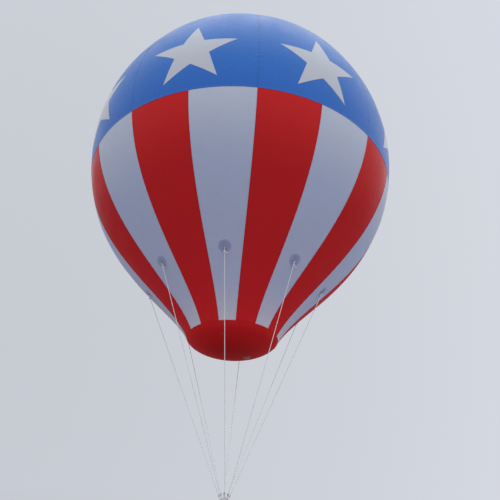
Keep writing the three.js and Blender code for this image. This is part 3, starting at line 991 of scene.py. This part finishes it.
# The strap's section, across in half widths and outwards in thicknesses
STRAP_SECTION = ((1, 0), (0.985, 0.36), (0.95, 0.5), (0.5, 0.56), (0, 0.58), (-0.5, 0.56), (-0.95, 0.5),
                 (-0.985, 0.36), (-1, 0), (-0.985, -0.36), (-0.95, -0.5), (0, -0.5), (0.95, -0.5),
                 (0.985, -0.36))
STITCH_LENGTH = 0.0042
STITCH_FILL = 0.38
STITCH_RADIUS = 0.00045
STITCH_SIDES = 6
STITCH_LEVEL = PATCH_THICKNESS + 2.22 * STRAP_THICKNESS
STITCH_HALF_WIDTH = 0.0115
STITCH_TOP = 0.040
STITCH_BOTTOM = 0.012
# A stitch's thread: along it from -1 to 1, and its rise
STITCH_SHAPE = ((-1, -0.0005), (-0.6, 0.0001), (0, 0.0002), (0.6, 0.0001), (1, -0.0005))
BAR_DROP = 0.006
BAR_LIFT = 0.0075
RING_RADIUS = 0.0175
RING_WIRE = 0.0025
RING_CORNER = 0.004
RING_STEP = 0.0016
RING_SIDES = 12
GATHER_HEIGHT = -4.344
GATHER_POINT = np.array([0, 0, GATHER_HEIGHT])


def film_frame(azimuth, s):
    """A frame on the film there: sideways, up and outwards."""
    point, sideways, upwards, outwards = tangent_frame(azimuth, s)
    lift = float(relief(np.array(azimuth), np.array(s)))
    return placed(point + outwards * lift, sideways, upwards, outwards)


def ring_frame(azimuth):
    """The middle of a D-ring's bar, the direction of its line's pull and the sideways direction."""
    point, sideways, upwards, outwards = tangent_frame(azimuth, PATCH_S)
    bar = point - upwards * BAR_DROP + outwards * BAR_LIFT
    return bar, unit(GATHER_POINT - bar), sideways


def strap_path(bar_up, bar_out):
    """Down the patch, round the D-ring's bar and back up on top of itself, as (up, outwards) points."""
    low = PATCH_THICKNESS + STRAP_THICKNESS / 2
    high = low + STRAP_PLY
    bend = RING_WIRE + STRAP_THICKNESS / 2 + STRAP_TOUCH
    down = [(STRAP_TOP, low)] + [(bar_up + up, low) for up in STRAP_DOWN]
    loop = arc(bend, *STRAP_LOOP, 14) + (bar_up, bar_out)
    back = [(bar_up + up, high + off) for up, off in STRAP_BACK] + [(STRAP_TOP - STRAP_INSET, high)]
    return smooth_path([(up, out, 0) for up, out in (*down, *loop, *back)], STRAP_STEP)[:, :2]


def make_strap(number, matrix, path):
    run = unit_rows(np.gradient(path, axis=0))
    outer_side = np.stack([run[:, 1], -run[:, 0]], -1)
    section = np.array(STRAP_SECTION)
    spot = path[:, None] + section[None, :, 1:] * STRAP_THICKNESS * outer_side[:, None]
    across = section[None, :, 0] * STRAP_WIDTH / 2 + 0 * spot[..., 0]
    rings = np.concatenate([across[..., None], spot], -1)
    make_piece(f"webbing_strap_{number}", moved(swept(rings), matrix), WEBBING, "webbing",
               along=np.repeat(distances(path), len(section)), across=across.ravel())


def make_stitches(number, matrix):
    """A sewn box with a cross in it, as short raised threads."""
    side, top, bottom = STITCH_HALF_WIDTH, STITCH_TOP, STITCH_BOTTOM
    corners = [(-side, top), (side, top), (side, bottom), (-side, bottom)]
    lines = list(zip(corners, corners[1:] + corners[:1]))
    lines += [(corners[0], corners[2]), (corners[1], corners[3])]
    parts = []
    for a, b in lines:
        a, b = np.array(a), np.array(b)
        count = round(np.linalg.norm(b - a) / STITCH_LENGTH)
        half = unit(b - a) * STITCH_LENGTH * STITCH_FILL
        for k in range(count):
            middle = a + (b - a) * (k + 0.5) / count
            path = [(*(middle + half * t), STITCH_LEVEL + rise) for t, rise in STITCH_SHAPE]
            parts.append(tube(np.array(path), even(STITCH_RADIUS), STITCH_SIDES))
    points, faces = joined(parts)
    make_piece(f"strap_stitches_{number}", moved((points, faces), matrix), TWINE, "webbing",
               along=points[:, 1], across=points[:, 0])


def d_ring_path():
    """The ring's centre line as (sideways, along the pull) points: a straight bar and a round bow."""
    bar_half = RING_RADIUS - RING_CORNER
    inset = 0.3 * RING_CORNER
    bar = [(x, 0) for x in np.linspace(-bar_half, bar_half, 5)]
    bow = [(RING_RADIUS - inset, inset), *arc(RING_RADIUS, 14, 166, 15), (inset - RING_RADIUS, inset)]
    return smooth_path([(x, y, 0) for x, y in bar + bow], RING_STEP, closed=True)


def make_load_patches():
    flat_ring = d_ring_path()
    for i in range(PAIRS):
        azimuth = i * PAIR_ANGLE
        number = i + 1
        node_name = f"load_patch_{number}"
        make_applied_film(f"{node_name}_disc", circle(PATCH_RADIUS, PATCH_SIDES), PATCH_SHARES, azimuth,
                          PATCH_S, PATCH_THICKNESS, PATCH_PVC, "load_patch", [node_name])
        bar, pull, sideways = ring_frame(azimuth)
        matrix = film_frame(azimuth, PATCH_S)
        bar_up, bar_out = (bar - matrix[:3, 3]) @ matrix[:3, 1:3]
        make_strap(number, matrix, strap_path(bar_up, bar_out))
        make_stitches(number, matrix)
        ring = bar + flat_ring[:, :1] * sideways + flat_ring[:, 1:2] * pull
        make_piece(f"d_ring_{number}", tube(ring, even(RING_WIRE), RING_SIDES, closed=True), RING_STEEL,
                   "steel", replaces=[node_name])


# Bridle lines, hitched to the D-rings and looped round the gathering ring

GATHER_RADIUS = 0.040
GATHER_WIRE = 0.005
GATHER_SPACING = math.radians(20)
GATHER_ORDER = (2, 1, 3, 0, 4, 5, 7, 6)
ROPE_RADIUS = 0.004
ROPE_LAY = 0.028
ROPE_STEP = ROPE_LAY / 9
ROPE_SIDES = 12
ROPE_TOUCH = 0.0003
STRANDS = 3
STRAND_DEPTH = 0.25
STRAIGHT_POINTS = 24
HITCH_DROP = 0.024
HITCH_TURNS = 2.5
HITCH_TAIL = 0.042
TURN_STEPS = 8
# The tail from its tip, aside and down in tail lengths
HITCH_TAIL_SHAPE = ((1.0, 0.26), (0.66, 0.11), (0.30, 0.01))
# The rope beside the D-ring's wire: down from the ring's end, and over it in bends
HITCH_ENTRY = (0.012, 1.25)
HITCH_EXIT = ((0.014, -0.7), (HITCH_DROP + 0.006, 0.0))
SPLICE_START = 0.064
SPLICE_TAIL = 0.068
SPLICE_BEND = 0.022
SPLICE_FOOT = 0.010
WHIPPING_START = 0.036
WHIPPING_END = 0.061
WHIPPING_THICKNESS = 0.0008
WHIPPING_SLOPE = 0.0012
WHIPPING_SIDES = 20
WHIPPING_TURN_STEPS = 6
TWINE_RIPPLE = 0.0003


def rope_radius(length):
    """A rope of laid strands, with its cut ends melted round."""
    def radius_at(angle, run):
        from_crown = from_middle(angle, 2 * math.pi / STRANDS)
        lobes = 1 - STRAND_DEPTH + STRAND_DEPTH * np.cos(STRANDS * from_crown / 2)
        from_end = np.clip(np.minimum(run, length - run) / ROPE_RADIUS, 0.02, 1)
        return ROPE_RADIUS * lobes * np.sqrt(1 - (1 - from_end) ** 2)
    return radius_at


def gather_seat(index):
    """The place on the gathering ring's wire where a line is looped, and the wire's direction there."""
    step = (len(GATHER_ORDER) - 1) / 2 - GATHER_ORDER.index(index)
    angle = step * GATHER_SPACING
    outwards = np.array([math.sin(angle), 0, math.cos(angle)])
    return GATHER_POINT + GATHER_RADIUS * outwards, np.array([math.cos(angle), 0, -math.sin(angle)])


def hitch_points(apex, sideways, line):
    """From the tail's tip, up in turns round the standing rope, and over the D-ring's wire."""
    over = unit(np.cross(line, sideways))
    bend = RING_WIRE + ROPE_RADIUS + ROPE_TOUCH
    coil = 2 * ROPE_RADIUS + ROPE_TOUCH
    top = apex - line * HITCH_DROP
    foot = top - line * HITCH_TURNS * coil
    count = int(HITCH_TURNS * TURN_STEPS) + 1
    turns = arc(coil, 90 + 360 * HITCH_TURNS, 90, count) @ np.stack([sideways, over])

    def beside_ring(down, out):
        return apex - line * down + over * bend * out

    return [*(foot - over * coil + HITCH_TAIL * (aside * sideways - down * line)
              for aside, down in HITCH_TAIL_SHAPE),
            *(np.linspace(foot, top, count) + turns),
            beside_ring(*HITCH_ENTRY),
            *(apex + arc(bend, -5, 185, 9) @ np.stack([over, line])),
            *(beside_ring(*place) for place in HITCH_EXIT)]


def splice_points(seat, line, side, down):
    """Down to the gathering ring, under its wire and back up beside the line."""
    turn = GATHER_WIRE + ROPE_RADIUS + ROPE_TOUCH
    beside = 2 * ROPE_RADIUS + ROPE_TOUCH
    way_down = ((SPLICE_START, 0), (WHIPPING_START, 0), (SPLICE_BEND, 0.5 * turn), (SPLICE_FOOT, 0.95 * turn))
    way_up = ((SPLICE_FOOT, -turn), (SPLICE_BEND, -turn), (WHIPPING_START, -beside), (SPLICE_TAIL, -beside))
    return [*(seat + line * up + side * aside for up, aside in way_down),
            *(seat + arc(turn, 0, 180, 9) @ np.stack([side, down])),
            *(seat + line * up + side * aside for up, aside in way_up)]


def make_whipping(number, seat, line, side):
    """Twine wound tightly round the line and its returning tail."""
    cross = unit(np.cross(line, side))
    turns = int((WHIPPING_END - WHIPPING_START) / TWINE_PITCH)
    angle = full_turn(WHIPPING_SIDES)[None, :]
    height = np.linspace(WHIPPING_START, WHIPPING_END, turns * WHIPPING_TURN_STEPS + 1)[:, None]
    ripple = TWINE_RIPPLE * np.cos(2 * math.pi * height / TWINE_PITCH + angle)
    from_end = np.minimum(height - WHIPPING_START, WHIPPING_END - height)
    grow = WHIPPING_THICKNESS * np.clip(from_end / WHIPPING_SLOPE, 0, 1) + ripple
    wide = ((2 * ROPE_RADIUS + grow) * np.cos(angle))[..., None]
    deep = ((ROPE_RADIUS + grow) * np.sin(angle))[..., None]
    middle = seat - side * (ROPE_RADIUS + ROPE_TOUCH / 2)
    rings = middle + height[..., None] * line + wide * side + deep * cross
    run = (height + 0 * angle).ravel()
    make_piece(f"whipping_{number}", swept(rings), TWINE, "rope", along=run, across=0 * run)


def make_bridle_lines():
    for i in range(PAIRS):
        bar, pull, sideways = ring_frame(i * PAIR_ANGLE)
        apex = bar + pull * RING_RADIUS
        seat, wire = gather_seat(i)
        line = unit(apex - seat)
        down = -unit(line - wire * (line @ wire))
        side = unit(np.cross(wire, down))
        top = hitch_points(apex, sideways, line)
        bottom = splice_points(seat, line, side, down)
        straight = np.linspace(top[-1], bottom[0], STRAIGHT_POINTS)[1:-1]
        path = smooth_path([*top, *straight, *bottom], ROPE_STEP)
        run = distances(path)
        part = tube(path, rope_radius(run[-1]), ROPE_SIDES, lay=ROPE_LAY)
        across = np.tile(full_turn(ROPE_SIDES) * ROPE_RADIUS, len(path))
        make_piece(f"bridle_rope_{i + 1}", part, ROPE_YARN, "rope", replaces=[f"bridle_line_{i + 1}"],
                   along=np.repeat(run, ROPE_SIDES), across=across)
        make_whipping(i + 1, seat, line, side)


# Gathering ring and tether swivel

GATHER_STEPS = 144
WIRE_SIDES = 20
STEEL_SIDES = 72
RING_WELD_ANGLE = math.radians(118)
RING_WELD_WIDTH = 0.0032
RING_WELD_HEIGHT = 0.0008
BOW_RADIUS = 0.019
BOW_WIRE = 0.005
BOW_LEG = 0.020
# The weld bead round a leg of the bow: out from its wire, and up from the flange
BOW_BEAD = ((-0.0005, -0.001), (0.0034, -0.001), (0.0026, 0.0007), (0.0012, 0.0018), (0.0003, 0.0036),
            (-0.0005, 0.0042))
BEAD_SIDES = 44
BEAD_WAVES = 11
BEAD_UNEVENNESS = 0.03
FLANGE_RADIUS = 0.026
FLANGE_THICKNESS = 0.009
BARREL_RADIUS = 0.017
BARREL_LENGTH = 0.030
# The barrel's groove: its depth, and up from its middle
GROOVE = ((0.0, -0.0025), (0.0007, -0.0016), (0.0007, 0.0016), (0.0, 0.0025))
CHAMBER_RADIUS = 0.012
CHAMBER_LENGTH = 0.010
BORE_RADIUS = 0.0076
HEAD_RADIUS = 0.0114
HEAD_LENGTH = 0.0094
SHANK_RADIUS = 0.007
SHANK_REACH = 0.010
EYE_RADIUS = 0.027
EYE_HOLE_RADIUS = 0.013
EYE_THICKNESS = 0.014
EYE_DROP = 0.026
EYE_FILLET = 0.005
PLATE_REACH = 0.0066
SEAM_GAP = 0.0003
BOW_CENTRE = GATHER_HEIGHT - GATHER_RADIUS + 2 * GATHER_WIRE + SEAM_GAP - BOW_RADIUS
FLANGE_TOP = BOW_CENTRE - BOW_LEG
FLANGE_BOTTOM = FLANGE_TOP - FLANGE_THICKNESS
BARREL_BOTTOM = FLANGE_BOTTOM - BARREL_LENGTH
LEDGE = BARREL_BOTTOM + (BARREL_LENGTH - CHAMBER_LENGTH) / 2
EYE_CENTRE = BARREL_BOTTOM - SHANK_REACH - EYE_DROP
EYE_TOP = EYE_CENTRE + EYE_RADIUS
FILLET_AXIS = SHANK_RADIUS + EYE_FILLET
FILLET_TOP = EYE_CENTRE + math.sqrt((EYE_RADIUS + EYE_FILLET) ** 2 - FILLET_AXIS ** 2)


def make_gathering_ring():
    """A ring of round bar with a ground-down weld."""
    angle = full_turn(GATHER_STEPS)
    path = GATHER_POINT + GATHER_RADIUS * np.stack([np.sin(angle), 0 * angle, np.cos(angle)], -1)

    def wire_radius(around_wire, run):
        from_weld = run - RING_WELD_ANGLE * GATHER_RADIUS
        ripples = 1 + 0.2 * np.sin(5 * around_wire)
        return GATHER_WIRE + RING_WELD_HEIGHT * hump(from_weld, RING_WELD_WIDTH) * ripples

    make_piece("gathering_ring_steel", tube(path, wire_radius, WIRE_SIDES, closed=True), RING_STEEL, "steel",
               replaces=["gathering_ring"])


def barrel_profile():
    """From the chamber's ceiling down through the bore, and up outside to the flange's top."""
    groove_middle = FLANGE_BOTTOM - BARREL_LENGTH / 2
    return rounded([
        (0, LEDGE + CHAMBER_LENGTH, 0),
        (CHAMBER_RADIUS, LEDGE + CHAMBER_LENGTH, 0.001),
        (CHAMBER_RADIUS, LEDGE, 0.0002),
        (BORE_RADIUS, LEDGE, 0.0005),
        (BORE_RADIUS, BARREL_BOTTOM, 0.0008),
        (BARREL_RADIUS, BARREL_BOTTOM, 0.0022),
        *((BARREL_RADIUS - depth, groove_middle + up, 0.0003) for depth, up in GROOVE),
        (BARREL_RADIUS, FLANGE_BOTTOM, 0.0024),
        (FLANGE_RADIUS, FLANGE_BOTTOM, 0.0018),
        (FLANGE_RADIUS, FLANGE_TOP, 0.0018),
        (0, FLANGE_TOP, 0),
    ])


def bow_path():
    """Up one leg from inside the flange, over, and down the other."""
    legs = np.linspace(FLANGE_TOP - FLANGE_THICKNESS / 2, BOW_CENTRE, 9)[:-1]
    over = arc(BOW_RADIUS, 0, 180, 29) + (0, BOW_CENTRE)
    return np.array([*((0, BOW_RADIUS, z) for z in legs), *((0, y, z) for y, z in over),
                     *((0, -BOW_RADIUS, z) for z in legs[::-1])])


def make_swivel_body():
    """A bow welded to a flange, and under it a barrel with a groove, bored out for the eye's pin."""
    def beads(angle, radius, height):
        return 1 + BEAD_UNEVENNESS * np.sin(BEAD_WAVES * angle) * (radius > BOW_WIRE)

    bead = turned([(BOW_WIRE + out, up) for out, up in BOW_BEAD], BEAD_SIDES, beads)
    parts = [turned(barrel_profile(), STEEL_SIDES), tube(bow_path(), even(BOW_WIRE), WIRE_SIDES)]
    parts += [moved(bead, placed((0, y, FLANGE_TOP), *np.eye(3))) for y in (-BOW_RADIUS, BOW_RADIUS)]
    make_piece("swivel_body_steel", joined(parts), SWIVEL_STEEL, "steel", replaces=["swivel_body"], sharp=30)


def pin_profile():
    """From inside the eye, up a fillet and the shank, to the head in the barrel's chamber."""
    head_bottom = LEDGE + SEAM_GAP
    fillet_start = math.degrees(math.acos(FILLET_AXIS / (EYE_RADIUS + EYE_FILLET)))
    fillet = (FILLET_AXIS, FILLET_TOP) - arc(EYE_FILLET, fillet_start, 0, 7)
    return rounded([
        (0, EYE_TOP - 0.009, 0),
        (SHANK_RADIUS, EYE_TOP - 0.006, 0),
        *((radius, height, 0) for radius, height in fillet),
        (SHANK_RADIUS, head_bottom, 0.0004),
        (HEAD_RADIUS, head_bottom, 0.0008),
        (HEAD_RADIUS, head_bottom + HEAD_LENGTH, 0.0012),
        (0, head_bottom + HEAD_LENGTH, 0),
    ])


def make_swivel_eye():
    """A headed pin that turns in the barrel, with a forged eye on its lower end."""
    half = EYE_THICKNESS / 2
    section = rounded([
        (EYE_HOLE_RADIUS, -half, 0.0032),
        (EYE_RADIUS, -half, 0.0036),
        (EYE_RADIUS, half, 0.0036),
        (EYE_HOLE_RADIUS, half, 0.0032),
    ], steps=7)
    upright = placed((0, 0, EYE_CENTRE), (1, 0, 0), (0, 0, -1), (0, 1, 0))

    def inside_plate(angle, radius, height):
        squash = max(1, radius / PLATE_REACH) if height < FILLET_TOP else 1
        return 1 / np.hypot(np.cos(angle), np.sin(angle) * squash)

    parts = [turned(pin_profile(), STEEL_SIDES, inside_plate), moved(turned(section, STEEL_SIDES), upright)]
    make_piece("swivel_eye_steel", joined(parts), SWIVEL_STEEL, "steel", body=EYE_BODY,
               replaces=["swivel_eye"], sharp=30)


# Inflation valve on the cap

VALVE_AXIS_RADIUS = 0.230
VALVE_AZIMUTH = math.radians(135)
VALVE_FLANGE_RADIUS = 0.060
VALVE_FLANGE_THICKNESS = 0.0016
VALVE_BASE_RADIUS = 0.046
VALVE_BASE_BOTTOM = VALVE_FLANGE_THICKNESS - 0.0015
VALVE_BASE_TOP = VALVE_FLANGE_THICKNESS + 0.0006
VALVE_NECK_RADIUS = 0.028
VALVE_NECK_BOTTOM = VALVE_FLANGE_THICKNESS + 0.0022
VALVE_NECK_TOP = 0.0163
VALVE_CAP_RADIUS = 0.034
VALVE_CAP_BOTTOM = 0.0053
VALVE_CAP_TOP = 0.0216
VALVE_CAP_WALL = 0.005
VALVE_CAP_INNER = VALVE_CAP_RADIUS - VALVE_CAP_WALL
VALVE_CAP_TAPER = 0.0006
VALVE_CAP_SHOULDER = VALVE_CAP_TOP - 0.0012
VALVE_CAP_DISH = VALVE_CAP_TOP - 0.0008
VALVE_CAP_RIDGE = (0.025, 0.024)
VALVE_FLUTES = 30
VALVE_FLUTE_DEPTH = 0.020
VALVE_FLUTE_TOP = VALVE_CAP_TOP - 0.0030


def valve_neck_profile():
    return rounded([
        (0, VALVE_BASE_BOTTOM, 0),
        (VALVE_BASE_RADIUS, VALVE_BASE_BOTTOM, 0),
        (VALVE_BASE_RADIUS, VALVE_BASE_TOP, 0.0003),
        (VALVE_NECK_RADIUS, VALVE_NECK_BOTTOM, 0.0018),
        (VALVE_NECK_RADIUS, VALVE_NECK_TOP, 0.0008),
        (0, VALVE_NECK_TOP, 0),
    ])


def valve_cap_profile():
    """A hollow cap whose top is dished inside a low ridge."""
    ceiling = VALVE_CAP_TOP - VALVE_CAP_WALL
    ridge_outer, ridge_inner = VALVE_CAP_RIDGE
    return rounded([
        (0, ceiling, 0),
        (VALVE_CAP_INNER, ceiling, 0.001),
        (VALVE_CAP_INNER, VALVE_CAP_BOTTOM, 0.0005),
        (VALVE_CAP_RADIUS, VALVE_CAP_BOTTOM, 0.0008),
        (VALVE_CAP_RADIUS - VALVE_CAP_TAPER, VALVE_CAP_SHOULDER, 0.0022),
        (ridge_outer, VALVE_CAP_TOP, 0.0006),
        (ridge_inner, VALVE_CAP_SHOULDER, 0.0006),
        (0, VALVE_CAP_DISH, 0),
    ])


def flutes(angle, radius, height):
    """Grooves for the fingers down the cap's skirt."""
    on_skirt = (radius > VALVE_CAP_INNER + 0.003) * (height < VALVE_FLUTE_TOP)
    return 1 - VALVE_FLUTE_DEPTH * on_skirt * (0.5 + 0.5 * np.cos(VALVE_FLUTES * angle))


def make_valve():
    valve_s = float(OUTLINE.at_cap_radius(VALVE_AXIS_RADIUS))
    matrix = film_frame(VALVE_AZIMUTH, valve_s)
    make_applied_film("valve_flange_film", circle(VALVE_FLANGE_RADIUS, PATCH_SIDES), PATCH_SHARES,
                      VALVE_AZIMUTH, valve_s, VALVE_FLANGE_THICKNESS, RED_FILM, "pvc_red",
                      ["inflation_valve"])
    neck = moved(turned(valve_neck_profile(), STEEL_SIDES), matrix)
    cap = moved(turned(valve_cap_profile(), VALVE_FLUTES * 6, flutes), matrix)
    make_piece("valve_neck", neck, VALVE_PLASTIC, "valve_plastic", replaces=["inflation_valve"], sharp=30)
    make_piece("valve_cap_moulding", cap, VALVE_PLASTIC, "valve_plastic", replaces=["valve_cap"], sharp=30)


# Floor, light and camera

def make_floor():
    half = FLOOR_SIZE / 2
    corners = [(-half, -half), (half, -half), (half, half), (-half, half)]
    mesh = bpy.data.meshes.new("floor")
    mesh.from_pydata([(x, y, FLOOR_HEIGHT) for x, y in corners], [], [(0, 1, 2, 3)])
    material, tree, shader = new_material("floor_paint", Roughness=0.85)
    mottle = noise(tree, place_of(tree), 0.5, 4.0)
    feed(tree, shader, Base_Color=mixed(tree, mottle, colour(0.37, 0.37, 0.38), colour(0.41, 0.41, 0.42)))
    mesh.materials.append(material)
    floor = bpy.data.objects.new("floor", mesh)
    bpy.context.scene.collection.objects.link(floor)


# The sky's light by direction: (upwards, red, green, blue), and how much brighter it is towards X and Y
SKY = (
    (-1.00, 0.20, 0.20, 0.22),
    (-0.04, 0.46, 0.47, 0.51),
    (0.08, 0.74, 0.76, 0.83),
    (0.20, 0.84, 0.87, 0.95),
    (0.55, 0.79, 0.82, 0.89),
    (0.80, 0.75, 0.78, 0.85),
    (1.00, 1.35, 1.41, 1.53),
)
SKY_TILT = (0.17, -0.27, 0.0)


def make_light():
    """A soft sky by direction: brightest overhead, and brighter on its front and right."""
    world = bpy.data.worlds.new("studio")
    world.use_nodes = True
    tree = world.node_tree
    direction = node(tree, "ShaderNodeTexCoord").outputs["Generated"]
    background = tree.nodes["Background"]
    tilt = node(tree, "ShaderNodeVectorMath", {0: direction, 1: SKY_TILT}, operation="DOT_PRODUCT")
    feed(tree, background, Color=ramp(tree, height_of(tree, direction), SKY),
         Strength=math_node(tree, "ADD", tilt.outputs["Value"], 1.0))
    bpy.context.scene.world = world


def make_camera():
    backwards = around(1.0, 0.0, CAMERA_AZIMUTH)
    heading = Quaternion((0, 0, 1), -CAMERA_YAW) @ Vector(-backwards)
    forward = heading * math.cos(CAMERA_PITCH) + Vector((0, 0, math.sin(CAMERA_PITCH)))
    level = forward.cross(Vector((0, 0, 1))).normalized()
    upright = level.cross(forward)
    right = level * math.cos(CAMERA_ROLL) + upright * math.sin(CAMERA_ROLL)
    up = right.cross(forward)
    data = bpy.data.cameras.new("camera")
    data.lens = CAMERA_LENS
    data.sensor_width = CAMERA_SENSOR
    data.clip_start = 0.05
    data.clip_end = 500
    camera = bpy.data.objects.new("camera", data)
    bpy.context.scene.collection.objects.link(camera)
    place = backwards * CAMERA_DISTANCE + np.array([0, 0, CAMERA_HEIGHT])
    camera.matrix_world = Matrix.Translation(place) @ Matrix((right, up, -forward)).transposed().to_4x4()
    bpy.context.scene.camera = camera


make_camera()
make_panels()
make_round_end("bottom_cap", OUTLINE.end, OUTLINE.cap, CAP_RINGS, CAP_SIDES, RED_FILM, "pvc_red")
make_round_end("crown_disc", 0.0, CROWN_DISC_S + DISC_LAP, DISC_RINGS, DISC_SIDES, BLUE_FILM, "pvc_blue")
make_stars()
make_load_patches()
make_bridle_lines()
make_gathering_ring()
make_swivel_body()
make_swivel_eye()
make_valve()
make_floor()
make_light()
bpy.context.scene.view_settings.view_transform = "Standard"
